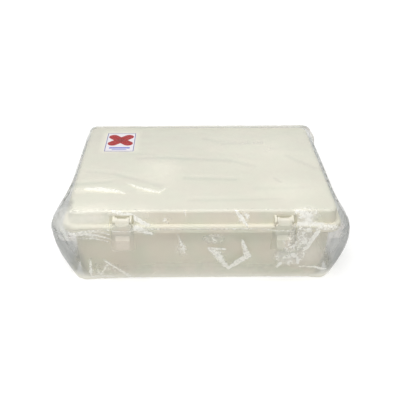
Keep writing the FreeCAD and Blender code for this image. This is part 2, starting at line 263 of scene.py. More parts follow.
# Latches
# Two snap latches of the same ivory plastic hang on steel pins from the lid. Each has a head
# between the ears, a plate over both rims, and a finger tab, and hooks in under the base rim.
latch_abs = ivory_abs("latch_abs", srgb(235, 231, 217), srgb(228, 224, 208), 1700.0)
for node in ("left_latch", "right_latch"):
    wear(node, latch_abs)


# Dividers
# Three plates of milky polypropylene slot into the guide ribs and into each other. They can be
# lifted out, so their faces carry long fine scratches.
milky = Finish("milky_polypropylene")
cloud = milky.noise(milky.place, scale=30.0, detail=3.0)
lift_marks = milky.noise(milky.stretched(700.0, 700.0, 25.0), detail=3.0).rise(0.62, 0.72)
milky_white = milky.blend(cloud, srgb(224, 225, 219), srgb(236, 236, 231))
milky_polypropylene = milky.surface(
    base_color=milky_white, roughness=0.38 + 0.08 * cloud + 0.12 * lift_marks,
    subsurface_weight=0.25, subsurface_radius=(4 * MM, 4 * MM, 4 * MM),
    normal=milky.bump(lift_marks, strength=0.15, distance=0.1 * MM),
)
for node in ("long_divider", "left_cross_divider", "right_cross_divider"):
    wear(node, milky_polypropylene)


# Label
# A printed vinyl sticker lies on the lid. The print is a plain one: a thin blue frame, two
# crossed plasters in red, and two blue bars under them, on glossy white.
label_low, label_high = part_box("label")
label_middle = (label_low + label_high) / 2
frame_inset = 1.0 * MM
frame_line = 0.75 * MM
plaster_rise = 5.6 * MM
plaster_length = 40.0 * MM
plaster_width = 12.6 * MM
pad_size = 9.6 * MM
hole_pitch = 2.6 * MM
hole_radius = 0.5 * MM
hole_edge = 0.06
holes_start = 0.70 * pad_size
holes_full = 0.72 * pad_size
print_edge = 0.08 * MM
# Each bar as (rise from the label's middle, length, width)
bars = ((-16.8 * MM, 26.0 * MM, 3.6 * MM), (-21.6 * MM, 18.0 * MM, 1.7 * MM))

vinyl = Finish("printed_vinyl")
across, along = vinyl.place.parts()[:2]
across = across - label_middle.x
along = along - label_middle.y


def inside(distance):
    """Ink where a signed distance is negative, with a soft printed edge."""
    return distance.rise(print_edge, -print_edge)


def box_distance(x, y, length, width):
    """How far a place is outside a rectangle round the middle, negative inside it."""
    return (abs(x) - length / 2).most(abs(y) - width / 2)


edge_distance = box_distance(
    across, along, label_high.x - label_low.x - 2 * frame_inset,
    label_high.y - label_low.y - 2 * frame_inset,
)
frame_ink = inside(abs(edge_distance) - frame_line / 2)
bar_ink = None
for bar_rise, bar_length, bar_width in bars:
    ink = inside(box_distance(across, along - bar_rise, bar_length, bar_width))
    bar_ink = ink if bar_ink is None else bar_ink.most(ink)

grain = vinyl.noise(vinyl.place, scale=260.0)
paper = vinyl.blend(grain, srgb(241, 237, 240), srgb(234, 230, 235))
colour = vinyl.blend(frame_ink, paper, srgb(58, 66, 142))
colour = vinyl.blend(bar_ink, colour, srgb(110, 120, 208))

# The plasters lie at 45 degrees, where sine and cosine are the same
slant = math.sqrt(0.5)
raised = along - plaster_rise
for lean in (-1, 1):
    down_plaster = (across + raised * lean) * slant
    over_plaster = (raised - across * lean) * slant
    half_round = plaster_width / 2
    past_end = (abs(down_plaster) - (plaster_length / 2 - half_round)).most(0.0)
    reach = (past_end * past_end + over_plaster * over_plaster) ** 0.5
    body_ink = inside(reach - half_round)
    hole_x = (down_plaster / hole_pitch).maths("FRACT") - 0.5
    hole_y = (over_plaster / hole_pitch).maths("FRACT") - 0.5
    hole = (hole_x * hole_x + hole_y * hole_y) ** 0.5 - hole_radius / hole_pitch
    past_pad = abs(down_plaster).rise(holes_start, holes_full)
    holes = hole.rise(hole_edge, -hole_edge) * past_pad
    red = vinyl.blend(holes * 0.2, srgb(168, 0, 10), srgb(214, 92, 96))
    colour = vinyl.blend(body_ink, colour, red)
pad_ink = inside(box_distance(
    (across + raised) * slant, (raised - across) * slant, pad_size, pad_size,
))
colour = vinyl.blend(pad_ink, colour, srgb(146, 4, 14))
wear("label", vinyl.surface(
    base_color=colour, roughness=0.3 + 0.08 * vinyl.noise(vinyl.place, scale=90.0),
    specular_ior_level=0.08,
))


# Clear bag
# The box is packed in a loose bag of thin blown polythene, sealed at its left and right. The
# film lies close on the top, front and back, and stands off in soft gussets at the sides. It is
# slit along the joint of the rims and open round latches and hinges, so the box opens in it.
film_pitch = 1.7 * MM
rim_half_x = -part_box("base_shell")[0].x
rim_half_y = 113.0 * MM
rim_corner = 17.0 * MM

# Heights on the case and the slopes of its walls, in millimetres
lid_top = 91.2
rim_top = 73.0
joint = 71.2
rim_foot = 66.4
base_draft = 0.163
lid_draft = 0.34

# The film's course down a side in millimetres, as (inset from the rim's outline, corner radius,
# height)
lid_course = (
    (8.8, 9.0, 91.75), (7.2, 9.8, 91.6), (6.1, 10.6, 90.6), (2.6, 14.2, 82.5),
    (-0.4, 17.4, 75.4), (-0.9, 17.9, 73.6), (-0.9, 17.9, 71.35),
)
base_course = (
    (-0.9, 17.9, 71.05), (-0.9, 17.9, 66.4), (2.2, 16.0, 50.0), (6.2, 13.0, 25.0),
    (9.6, 11.5, 5.0), (10.8, 11.0, 0.45),
)

# Where the bag stands off, in millimetres: middle (x, y, z), reach, and how far it runs in x, y
# and z
end_pockets = (
    ((-150, -98, 50), 12.3, (26, 50, 46)),
    ((-150, 0, 66), 1.8, (30, 110, 40)),
    ((150, -98, 47), 10.6, (24, 38, 34)),
    ((150, -92, 8), 4.0, (22, 50, 26)),
    ((150, 10, 66), 3.0, (30, 90, 40)),
    ((147, 106, 80), 6.0, (12, 16, 16)),
)
loose_places = (
    ((-85.5, -118, 58), 4.2, (15, 40, 26)),
    ((85.5, -118, 58), 5.2, (17, 40, 30)),
    ((-118, -106, 8), 1.2, (34, 16, 16)),
    ((0, -104, 0), 0.4, (130, 12, 9)),
    ((0, 118, 66), 2.0, (130, 20, 30)),
)


def polyline(course, pitch):
    """Even steps along a course, measured by the first and the last of its three numbers."""
    course = np.array(course) * MM
    steps = np.linalg.norm(np.diff(course, axis=0)[:, [0, 2]], axis=1)
    run = np.concatenate([[0.0], np.cumsum(steps)])
    count = max(2, round(run[-1] / pitch))
    at = np.linspace(0.0, run[-1], count + 1)
    return np.stack([np.interp(at, run, course[:, k]) for k in range(3)], axis=1)


arc_run = rim_corner * math.pi / 4
front_run = 2 * (rim_half_x - rim_corner) + 2 * arc_run
side_run = 2 * (rim_half_y - rim_corner) + 2 * arc_run
front_count = round(front_run / film_pitch)
side_count = round(side_run / film_pitch)


def loop(half_x, half_y, radius):
    """Points round a rectangle with round corners and the way out at each.

    They run anticlockwise from the front left corner, in the same shares of each side for
    any rectangle, so that loops at different heights join up.
    """
    points = []
    outward = []
    sides = ((half_x, half_y, front_count, front_run), (half_y, half_x, side_count, side_run))
    for quarter in range(4):
        half_along, half_across, count, run = sides[quarter % 2]
        share = arc_run / run
        at = np.arange(count) / count
        lean = np.clip((share - at) / share, 0, 1) - np.clip((at - 1 + share) / share, 0, 1)
        lean = lean * math.pi / 4
        straight = np.clip((at - share) / (1 - 2 * share), 0, 1) * 2 - 1
        out = np.stack([-np.sin(lean), -np.cos(lean)], axis=1)
        centre_along = straight * (half_along - radius)
        centre = np.stack([centre_along, 0 * at - (half_across - radius)], axis=1)
        turn = quarter * math.pi / 2
        turned_by = np.array([
            [math.cos(turn), math.sin(turn)],
            [-math.sin(turn), math.cos(turn)],
        ])
        points.append((centre + out * radius) @ turned_by)
        outward.append(out @ turned_by)
    return np.concatenate(points), np.concatenate(outward)


loop_count = 2 * (front_count + side_count)


def wall_rows(course):
    """Loops down the sides of the box, as points and ways out, shaped (rows, places, 3)."""
    points = []
    outward = []
    for inset, radius, height in polyline(course, film_pitch):
        flat, out = loop(rim_half_x - inset, rim_half_y - inset, radius)
        level_z = np.full((loop_count, 1), height)
        points.append(np.concatenate([flat, level_z], axis=1))
        outward.append(np.concatenate([out, 0 * level_z], axis=1))
    return np.array(points), np.array(outward)


def top_grid(edge):
    """Grid over the lid's top whose border is the given loop, as points in rows of x."""
    column, row = np.meshgrid(np.arange(front_count + 1), np.arange(side_count + 1), indexing="ij")
    across_share = 2 * column / front_count - 1
    along_share = 2 * row / side_count - 1
    hair = 1e-9
    ring = np.maximum(np.maximum(abs(across_share), abs(along_share)), hair)
    across_share, along_share = across_share / ring, along_share / ring
    place = np.select(
        [along_share <= -1 + hair, across_share >= 1 - hair, along_share >= 1 - hair],
        [
            (across_share + 1) / 2 * front_count,
            front_count + (along_share + 1) / 2 * side_count,
            front_count + side_count + (1 - across_share) / 2 * front_count,
        ],
        2 * front_count + side_count + (1 - along_share) / 2 * side_count,
    )
    closed = np.concatenate([edge, edge[:1]])
    grid = [np.interp(place, np.arange(loop_count + 1), closed[:, k]) * ring for k in range(2)]
    return np.stack([*grid, np.full(ring.shape, edge[0, 2])], axis=2)


def apart(points, middle, spread):
    """Squared distance from a patch's middle, counted in how far it runs in x, y and z."""
    return (((points / MM - np.array(middle)) / np.array(spread)) ** 2).sum(axis=1)


def ramp(values, low, high):
    """0 at low and 1 at high, straight between them."""
    return np.clip((values - low) / (high - low), 0, 1)


def bell(values, middle, half_width):
    """1 at the middle, and less the further away, to about a third at the half width."""
    return np.exp(-((values - middle) / half_width) ** 2)


def stand_off(points, places=end_pockets + loose_places):
    """How far the bag stands off the box at each point, in metres."""
    reach = np.zeros(len(points))
    for middle, most, spread in places:
        reach += most * np.exp(-apart(points, middle, spread))
    return reach * MM


def rear_lift(points):
    """How far air lifts the film off the lid along its rear edge, most at the right."""
    x, y, z = points.T / MM
    most = 1.6 * MM
    to_right = 0.35 + 0.65 * ramp(x, -120, 120)
    return most * to_right * bell(y, 105, 11) * ramp(z, 84, 90)


# Painted glints: white lines along creases where they would catch the light. Strength of the
# glint, then (x, y, z, half width) along each. The last nine lie on the back and on the two ends.
glint_creases = (
    (0.72, (-129, -61, 92, 3.4), (-114, -62, 92, 6.0), (-100, -65, 92, 4.8), (-86, -71, 92, 2.2)),
    (0.65, (-84, -48, 92, 1.6), (-73, -57, 92, 3.2), (-60, -64, 92, 4.2), (-48, -70, 92, 3.0)),
    (0.6, (-48, -70, 92, 2.4), (-41, -60, 92, 1.6)),
    (0.42, (80, -36, 92, 1.6), (85, -46, 92, 1.8)),
    (0.68, (-148, -114, 73, 1.6), (-122, -114, 69, 2.2), (-97, -113, 61, 1.4)),
    (0.62, (-142, -113, 69, 1.2), (-118, -113, 63, 1.8), (-100, -112, 57, 1.2)),
    (0.62, (-140, -114, 73, 1.2), (-112, -114, 71, 1.4), (-98, -114, 67, 1.2)),
    (0.7, (-95, -107, 91, 2.2), (-77, -109, 87, 3.6), (-58, -113, 77, 3.0)),
    (0.8, (-72, -115, 75, 4.4), (-55, -115, 67, 2.8)),
    (0.8, (-150, -60, 69, 1.4), (-150, -90, 67, 1.6)),
    (0.5, (-150, -90, 67, 1.1), (-147, -106, 67, 0.8), (-138, -113, 67, 1.0)),
    (0.45, (-150, -82, 60, 1.3), (-150, -87, 42, 0.9)),
    (0.66, (7, -110, 44, 3.0), (15, -109, 38, 7.0), (20, -107, 28, 6.0), (29, -104, 14, 2.6)),
    (0.9, (6, -110, 46, 1.4), (24, -109, 44, 1.8)),
    (0.9, (29, -104, 14, 1.8), (38, -106, 24, 3.8), (49, -108, 33, 4.2), (42, -112, 57, 1.6)),
    (0.7, (12, -108, 38, 1.3), (30, -104, 14, 1.3)),
    (0.8, (33, -107, 92, 1.6), (40, -109, 84, 2.8), (46, -112, 76, 2.2)),
    (0.7, (108, -105, 17, 1.6), (128, -105, 18, 2.6), (147, -106, 13, 1.6)),
    (0.5, (-43, -112, 79, 1.6), (-34, -109, 86, 1.6)),
    (0.6, (-27, -113, 66, 1.8), (-22, -110, 50, 2.6), (-19, -108, 36, 1.4)),
    (0.75, (-123, -107, 34, 2.0), (-124, -104, 10, 2.6)),
    (0.65, (-110, -107, 32, 1.6), (-104, -106, 24, 2.0), (-113, -104, 9, 1.8)),
    (0.7, (-104, -106, 24, 1.4), (-92, -104, 14, 2.6), (-82, -103, 3, 2.8)),
    (0.65, (-124, -103, 6, 1.6), (-100, -103, 4, 2.0)),
    (0.5, (-57, -103, 5, 2.0), (-49, -104, 12, 1.6)),
    (0.6, (51, -106, 28, 1.4), (52, -105, 22, 1.4)),
    (0.6, (56, -106, 27, 1.4), (55, -105, 22, 1.4)),
    (0.75, (97, -111, 78, 3.0), (124, -112, 77, 4.0), (149, -114, 75, 2.4)),
    (0.6, (98, -107, 91, 4.0), (112, -109, 85, 6.5)),
    (0.75, (123, -115, 73, 3.4), (117, -113, 60, 3.2), (113, -110, 46, 2.4)),
    (0.8, (98, -109, 38, 2.8), (101, -109, 33, 2.4)),
    (0.8, (86, -106, 24, 2.8), (83, -105, 17, 2.0)),
    (0.8, (104, -108, 32, 2.2), (106, -106, 22, 2.0)),
    (0.8, (85, -113, 61, 2.0), (90, -111, 52, 1.6)),
    (0.8, (99, -112, 56, 2.4), (96, -110, 47, 2.0)),
    (0.6, (-21, -107, 93, 1.4), (-19, -108, 87, 2.2)),
    (0.6, (-136, -114, 73.0, 1.6), (0, -114, 72.6, 1.8), (136, -114, 73.0, 1.6)),
    (0.42, (-141, -105, 91.6, 2.4), (141, -105, 91.6, 2.4)),
    (0.6, (-128, 113, 62, 1.6), (-122, 110, 40, 2.8), (-126, 106, 18, 1.8)),
    (0.6, (-54, 113, 64, 1.4), (-20, 111, 46, 3.2), (6, 108, 26, 2.2), (12, 105, 8, 1.4)),
    (0.55, (62, 112, 56, 1.6), (40, 110, 42, 2.4), (30, 106, 20, 1.8)),
    (0.65, (100, 112, 58, 2.0), (118, 110, 38, 2.8), (112, 105, 14, 1.6)),
    (0.5, (-40, 108, 86, 1.6), (20, 110, 82, 2.2), (52, 113, 76, 1.6)),
    (0.55, (-148, 60, 62, 1.6), (-146, 30, 44, 2.6), (-143, 12, 24, 1.8)),
    (0.55, (-147, -30, 56, 1.6), (-145, -8, 38, 2.4), (-141, -20, 14, 1.6)),
    (0.55, (148, 40, 60, 1.8), (146, 62, 42, 2.4), (142, 54, 18, 1.6)),
    (0.55, (147, -40, 58, 1.6), (145, -18, 36, 2.6), (141, -28, 12, 1.6)),
)

# Soft wrinkles on the lid's top, drawn only as painted shade: start, end, half width, depth of
# shade
wrinkle_shade_lines = (
    ((-74, 13), (-37, 14), 2.6, 0.5), ((-37, 14), (35, 6), 2.8, 0.55),
    ((35, 6), (62, -8), 2.4, 0.4), ((-18, -37), (38, -41), 2.4, 0.5),
    ((-131, -21), (-100, -27), 2.2, 0.35), ((-100, -27), (-47, -54), 2.4, 0.5),
    ((-142, -51), (-104, -45), 2.0, 0.5), ((106, 18), (134, -13), 2.2, 0.4),
    ((7, 68), (30, 54), 2.4, 0.35), ((30, 54), (80, 56), 2.6, 0.45),
    ((-14, -87), (84, -85), 2.0, 0.35), ((-98, 30), (-60, 22), 2.6, 0.25),
    ((60, -62), (118, -60), 2.6, 0.25), ((84, -38), (89, -47), 1.4, 0.6),
)

# Painted sheen, soft patches of painted light: middle (x, y, z), half size in x, y and z, strength
sheen_patches = (
    ((-49, -14, 92), (24, 32, 8), 0.17), ((96, -62, 92), (34, 26, 6), 0.18),
    ((84, 34, 92), (76, 58, 8), 0.16),
    ((109, -108, 84), (12, 14, 8), 0.45), ((106, -112, 58), (11, 20, 18), 0.4),
    ((92, -108, 36), (15, 20, 17), 0.38), ((-118, -114, 67), (15, 7, 5), 0.27),
    ((-122, -63, 92), (26, 6, 6), 0.3), ((-60, -65, 92), (12, 6, 6), 0.2),
    ((-24, -110, 44), (10, 20, 20), 0.12), ((11, -112, 58), (15, 20, 9), 0.14),
    ((-112, -106, 14), (18, 16, 12), 0.14), ((-66, -112, 76), (14, 14, 8), 0.3),
    ((20, -108, 32), (12, 16, 12), 0.12), ((0, -108, 12), (128, 20, 15), 0.32),
    ((112, -110, 38), (20, 20, 34), 0.3), ((-30, 110, 40), (46, 12, 22), 0.16),
    ((112, 110, 40), (20, 12, 24), 0.2), ((-124, 110, 36), (18, 12, 24), 0.18),
    ((-122, -108, 84), (36, 12, 11), 0.52), ((-72, -109, 86), (16, 10, 7), 0.4),
)

# Crumpled patches: middle (x, y, z), half size in x, y and z, strength
crumples = (
    ((103, -113, 62), (15, 30, 22), 1.0), ((112, -108, 86), (15, 12, 9), 0.7),
    ((96, -108, 38), (18, 20, 20), 1.0), ((11, -112, 60), (16, 20, 10), 0.6),
    ((43, -110, 84), (9, 12, 9), 0.6), ((18, -108, 34), (12, 20, 13), 0.5),
    ((-23, -110, 46), (9, 20, 18), 0.5), ((-38, -110, 82), (8, 12, 7), 0.5),
    ((-84, -112, 60), (20, 20, 12), 0.35), ((-108, -105, 16), (22, 16, 16), 0.5),
    ((112, 110, 44), (14, 12, 18), 0.6), ((-14, 110, 44), (18, 12, 14), 0.45),
    ((-122, 109, 34), (11, 12, 18), 0.45),
)


def segment_distance(points, start, end):
    """How far each point is from a straight stretch, and its place along it from 0 to 1."""
    start = np.array(start, float)
    along = np.array(end, float) - start
    share = np.clip((points - start) @ along / (along @ along), 0, 1)
    return np.linalg.norm(points - start - share[:, None] * along, axis=1), share


def painted_crease_glints(points):
    """Painted glints along the creases: their strength at each point."""
    softness = 0.7
    light = np.zeros(len(points))
    for glint_strength, *course in glint_creases:
        for start, end in zip(course[:-1], course[1:]):
            away, share = segment_distance(points / MM, start[:3], end[:3])
            half_width = start[3] + share * (end[3] - start[3])
            fade = np.exp(-softness * (away / half_width) ** 2)
            light = np.maximum(light, glint_strength * fade)
    return light


def crumple_share(points):
    """How much the film is crumpled at each point, in patches with a fairly clear edge."""
    share = np.zeros(len(points))
    for middle, half_size, strength in crumples:
        share = np.maximum(share, strength * np.exp(-apart(points, middle, half_size) ** 2))
    return share


def painted_wrinkle_lines(points):
    """Painted shade along the soft wrinkles at each point, only on the flat top."""
    flat = points[:, :2] / MM
    soft_edge = 1.6
    wrinkle_shade = np.zeros(len(points))
    for start, end, half_width, shade_depth in wrinkle_shade_lines:
        away = segment_distance(flat, start, end)[0]
        wrinkle_shade = np.maximum(wrinkle_shade, shade_depth * bell(away, 0, soft_edge * half_width))
    return wrinkle_shade * (points[:, 2] > lid_top * MM)


def painted_sheen(points):
    """Painted sheen: soft patches of painted light, and a painted light band beside each wrinkle.
    """
    share = np.zeros(len(points))
    for middle, half_size, strength in sheen_patches:
        share = np.maximum(share, strength * np.exp(-apart(points, middle, half_size)))
    behind_wrinkle = points - np.array([0, 6 * MM, 0])
    return np.maximum(share, 0.18 * painted_wrinkle_lines(behind_wrinkle))


def haze_and_shade(points):
    """How much one layer of the film greys what lies under it, as haze and as painted shade.

    It is least where the film clings to the glossy label, and most in the end pockets, along
    the curled edge of the slit beside them, and in painted shade at the base's front corners.
    """
    x, y, z = points.T / MM
    at_left = x < 0
    on_top = z > 91.0
    under_rim = np.clip(rim_foot - z, 0, None)
    over_rim = np.clip(z - rim_top, 0, None)
    side_x = 150.5 - base_draft * under_rim - lid_draft * over_rim
    towards_front = ramp(y, -48, -93)
    towards_rear = 0.5 + y / 226

    # At the lid's ends the grey is a thin line along the rim, which widens towards the front
    band = np.where(over_rim > 0, 7.0, 10.0)
    at_side = ramp(abs(x) - side_x, -band, -band / 2)
    line_top = np.where(at_left, 79.0, 75.5) + 15.0 * towards_front
    at_side = at_side * (1.0 - 0.85 * ramp(z - line_top, -1.25, 1.25))
    slit_edge = bell(z, joint, 1.6) * np.maximum(np.where(at_left, 1.3, 0.6), towards_front)
    full_pocket = 9 * MM
    pocket = np.clip(stand_off(points, end_pockets) / full_pocket, 0, 1) ** 0.6
    gathered = 0.21 * pocket * (1.0 + (y > 60)) + 0.38 * slit_edge

    label_x = ramp(abs(x - label_middle.x / MM), 27, 18)
    label_y = ramp(abs(y - label_middle.y / MM), 36, 24)
    on_label = label_x * label_y
    on_lid = (0.06 + 0.045 * towards_rear) * on_top * (1.0 - 0.85 * on_label)

    # Painted shade at the base's front corners, where the case's side walls lie in shadow, darker
    # on the left
    corner_shade_x = bell(abs(x) - side_x, -10.5, 5.5)
    corner_shade_y = bell(y - base_draft * under_rim, -112, 7.0)
    corner_shade = corner_shade_x * corner_shade_y * np.where(at_left, 0.37, 0.26) * (under_rim > 3.0)
    cling = 0.02 - 0.01 * on_label * on_top
    return cling + at_side * (0.06 + gathered) + on_lid + corner_shade


def tuck(points):
    """Where the film, gathered at the case's foot and rear edge, takes on its colour."""
    y, z = points.T[1:] / MM
    foot = ramp(z, 17, 5)
    rear_edge = bell(y, 106, 3.5) * (z > 87)
    return np.maximum(foot, rear_edge)


class Shaper(Graph):
    """A geometry node tree with named inputs, which ends in one real mesh."""

    def __init__(self, name, inputs):
        super().__init__(bpy.data.node_groups.new(name, "GeometryNodeTree"))
        face = self.tree.interface
        face.new_socket(name="Geometry", in_out="OUTPUT", socket_type="NodeSocketGeometry")
        self.keys = {}
        for label, kind in inputs.items():
            item = face.new_socket(name=label, in_out="INPUT", socket_type="NodeSocket" + kind)
            self.keys[label] = item.identifier
        self.entry = self.tree.nodes.new("NodeGroupInput")

    def given(self, label):
        return Socket(self, self.entry.outputs[label])

    def attribute(self, name, kind="FLOAT"):
        made = self.tree.nodes.new("GeometryNodeInputNamedAttribute")
        made.data_type = kind
        made.inputs["Name"].default_value = name
        return Socket(self, next(out for out in made.outputs if out.enabled))

    def stored(self, geometry, name, value):
        """Keeps a value on the points, for the material to read."""
        made = self.tree.nodes.new("GeometryNodeStoreNamedAttribute")
        made.data_type = "FLOAT"
        made.domain = "POINT"
        self.feed(made.inputs["Geometry"], geometry)
        self.feed(made.inputs["Name"], name)
        self.feed(next(s for s in made.inputs if s.name == "Value" and s.enabled), value)
        return Socket(self, made.outputs[0])

    def finish(self, geometry, material):
        real = self.node("GeometryNodeRealizeInstances", {}, [geometry])
        worn = self.node("GeometryNodeSetMaterial", {}, {"Geometry": real, "Material": material})
        out = self.tree.nodes.new("NodeGroupOutput")
        self.feed(out.inputs[0], worn)

    def applied(self, piece, values):
        """Runs the tree on a piece and leaves it as a plain mesh."""
        modifier = piece.modifiers.new("shape", "NODES")
        modifier.node_group = self.tree
        for label, value in values.items():
            modifier[self.keys[label]] = value
        graph = bpy.context.evaluated_depsgraph_get()
        shaped = bpy.data.meshes.new_from_object(
            piece.evaluated_get(graph), preserve_all_data_layers=True, depsgraph=graph,
        )
        piece.modifiers.clear()
        piece.data = shaped


film_shape = Shaper("film_shape", {
    "Geometry": "Geometry", "Crumple Size": "Float", "Crumple Height": "Float",
    "Seed": "Float", "Material": "Material",
})
lay = film_shape.attribute("lay", "FLOAT_VECTOR")
drawn = film_shape.node(
    "ShaderNodeTexNoise", {"noise_dimensions": "4D"},
    {"Vector": lay, "W": film_shape.given("Seed"), "Scale": 1.0, "Detail": 2.0},
)
fold = (1.0 - abs(drawn * 2.0 - 1.0) * 3.0).most(0.0)
cell_scale = film_shape.given("Crumple Size") ** -1.0
where = film_shape.node("GeometryNodeInputPosition")
facets = film_shape.node("ShaderNodeTexVoronoi", {}, {"Vector": where, "Scale": cell_scale})
height = fold * film_shape.attribute("slack")
height = height + facets * film_shape.attribute("crush") * film_shape.given("Crumple Height")
outwards = film_shape.node("GeometryNodeInputNormal")
push = film_shape.node(
    "ShaderNodeVectorMath", {"operation": "SCALE"}, {"Vector": outwards, "Scale": height},
)
moved = film_shape.node("GeometryNodeSetPosition", {}, {
    "Geometry": film_shape.given("Geometry"), "Offset": push,
})
film_shape.finish(film_shape.stored(moved, "fold", fold), film_shape.given("Material"))

# The film itself: what it doesn't reflect it lets through. Its haze is partly real and partly
# painted shade, and painted highlights and sheen whiten it along creases, on crumpled facets and
# in slack layers
film = Finish("polythene_film")


def film_attribute(name):
    values = {"attribute_name": name}
    return film.node("ShaderNodeAttribute", values, out="Fac")


def flecks(scale):
    """Small cells of the crumpled film, as three random numbers for each."""
    values = {"Vector": film.place, "Scale": scale}
    return film.node("ShaderNodeTexVoronoi", {}, values, "Color").parts()


# Seen at a slant, a layer reflects more and its haze is looked through further
facing = film.node("ShaderNodeLayerWeight", {}, {"Blend": 0.5}, "Facing")
through = (1.0 - facing).most(0.16) ** -1.0
mirror = 0.02 + 0.16 * facing ** 5.0

ragged = film.noise(film.place, scale=290.0, detail=4.0, roughness=0.65)
cloud = film.noise(film.place, scale=42.0, detail=3.0)
clump = film.noise(film.place, scale=110.0)
fold = film_attribute("fold")
crush = film_attribute("crush")
coarse = flecks(290.0)[0]
fine = flecks(520.0)[1]
speck = coarse * 0.4 + fine * 0.3 + clump * 0.55 - 0.12
crumpled = (crush * 1.5 - ragged * 0.9).rise(0.1, 0.5)

# Painted highlights that whiten the film: glints along creases and on crumpled facets, highlights
# on fold crests and painted sheen, and a little white over crumpled film
glare = (film_attribute("glare") * 1.7 - ragged * 1.25).rise(0.02, 0.5) * (0.5 + 0.75 * fine)
# Painted glints on some facets of the crumpled film and painted shade on others
glint_specks = speck.rise(0.52, 0.74) * crumpled
shade_specks = speck.rise(0.44, 0.26) * crumpled
haze_with_shade = film_attribute("haze_and_shade")
pocket = haze_with_shade.rise(0.06, 0.24)
crest_highlight = fold.rise(0.5, 0.85) * pocket
sheen = film_attribute("painted_sheen") * (0.6 + 0.8 * cloud)
highlights_and_whitening = glare * 0.85 + glint_specks * 0.85 + crest_highlight * 0.06 + crumpled * 0.12 + sheen
highlights_and_whitening = highlights_and_whitening.least(0.92)

# What greys or tints it, as the share that one layer hides: haze with painted shade, painted
# shade on crumpled facets and along the wrinkles, a tint on the walls, and painted shade in fold
# troughs
on_walls = film.place.parts()[2].rise(90.8 * MM, 89.6 * MM)
mottled = on_walls * (1.0 - pocket)
tucked = film_attribute("tuck")
layer = haze_with_shade * (0.8 + 0.4 * cloud) + shade_specks * 0.42 + film_attribute("wrinkle_shade") * 0.13
# Painted shade in the troughs of the pocket folds and painted light on their crests
layer = layer + mottled * 0.1 + pocket * (0.5 - fold) * 0.08
layer = (layer * (1.0 - tucked * 0.6) + tucked * 0.5).most(0.02).least(0.9)
greyed = 1.0 - (1.0 - layer) ** through
cover = (highlights_and_whitening + greyed * (1.0 - highlights_and_whitening)).least(0.95)
alpha = (mirror + cover * (1.0 - mirror)).least(1.0)

# The film's grey is partly its haze and partly painted shade, standing in for the darker
# reflections and shadow seen in gathered film
drift = cloud.rise(0.4, 0.6)
film_grey = film.blend(drift, srgb(138, 156, 152), srgb(156, 156, 158))
wall_tint = film.blend(drift, srgb(212, 222, 200), srgb(238, 218, 206))
film_grey = film.blend(mottled, film_grey, wall_tint)
film_grey = film.blend(pocket, film_grey, srgb(142, 146, 144))
film_grey = film.blend(tucked, film_grey, srgb(246, 243, 227))
# Painted shade on the darker crumpled facets
film_grey = film.blend(shade_specks, film_grey, srgb(140, 140, 128))
# Painted highlights and glints are near white
film_colour = film.blend((highlights_and_whitening / cover).least(1.0), film_grey, srgb(252, 251, 243))
mirror_share = (mirror / alpha).least(1.0)
film_colour = film.blend(mirror_share, film_colour, (1.0, 1.0, 1.0, 1.0))
polythene_film = film.surface(
    base_color=film_colour, metallic=mirror_share, roughness=0.14 + 0.2 * crush, alpha=alpha,
    normal=film.bump(speck * crumpled, strength=0.5, distance=0.4 * MM),
)


def film_marks(points):
    """What the film looks like at each point of the box that it lies against."""
    return {
        "crush": crumple_share(points), "glare": painted_crease_glints(points), "painted_sheen": painted_sheen(points),
        "haze_and_shade": haze_and_shade(points), "tuck": tuck(points), "wrinkle_shade": painted_wrinkle_lines(points),
    }


def film_piece(name, body, points, quads, lay_by, slack, marks):
    """One piece of the bag: a sheet from the given quads, wrinkled, on its body."""
    used, renumbered = np.unique(quads, return_inverse=True)
    mesh = bpy.data.meshes.new(name)
    mesh.from_pydata(points[used].tolist(), [], renumbered.reshape(-1, 4).tolist())
    for label, values in {"slack": slack, **marks}.items():
        kept = values[used].astype(np.float32)
        mesh.attributes.new(label, "FLOAT", "POINT").data.foreach_set("value", kept)
    drawn_by = lay_by[used].astype(np.float32).ravel()
    mesh.attributes.new("lay", "FLOAT_VECTOR", "POINT").data.foreach_set("vector", drawn_by)
    piece = bpy.data.objects.new(name, mesh)
    scene.collection.objects.link(piece)
    film_shape.applied(piece, {
        "Crumple Size": 5.5 * MM, "Crumple Height": 1.6 * MM, "Seed": 4.0,
        "Material": polythene_film,
    })

    # Crumpled film breaks into flat facets, the rest is smooth
    crushed = np.zeros(len(piece.data.vertices), np.float32)
    piece.data.attributes["crush"].data.foreach_get("value", crushed)
    corners = np.array([polygon.vertices for polygon in piece.data.polygons])
    most_for_smooth = 0.45
    smooth = crushed[corners].mean(axis=1) < most_for_smooth
    piece.data.polygons.foreach_set("use_smooth", smooth)
    piece.visible_shadow = False
    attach(piece, body)
    return piece


def strip(first_row, second_row):
    """Quads between two closed loops of vertex numbers, the second under the first."""
    after_first = np.roll(first_row, -1)
    after_second = np.roll(second_row, -1)
    return np.stack([first_row, second_row, after_second, after_first], axis=1)


def near(centres, low, high):
    """Whether face centres lie in a box, in millimetres."""
    return ((centres > np.array(low) * MM) & (centres < np.array(high) * MM)).all(axis=1)


def left_open(centres):
    """Whether a face lies where the bag is cut out, round a latch or a hinge."""
    cut = np.zeros(len(centres), bool)
    for side in (-1, 1):
        latch_x = side * 85.5
        cut |= near(centres, (latch_x - 12.8, -140, 45.5), (latch_x + 12.8, -100, 86.5))
        hinge_x = side * 85.0
        cut |= near(centres, (hinge_x - 21.5, 100, 66.0), (hinge_x + 21.5, 140, 76.5))
    return cut


round_place = np.arange(loop_count) * film_pitch
lid_walls, lid_out = wall_rows(lid_course)
base_walls, base_out = wall_rows(base_course)
top = top_grid(lid_walls[0])

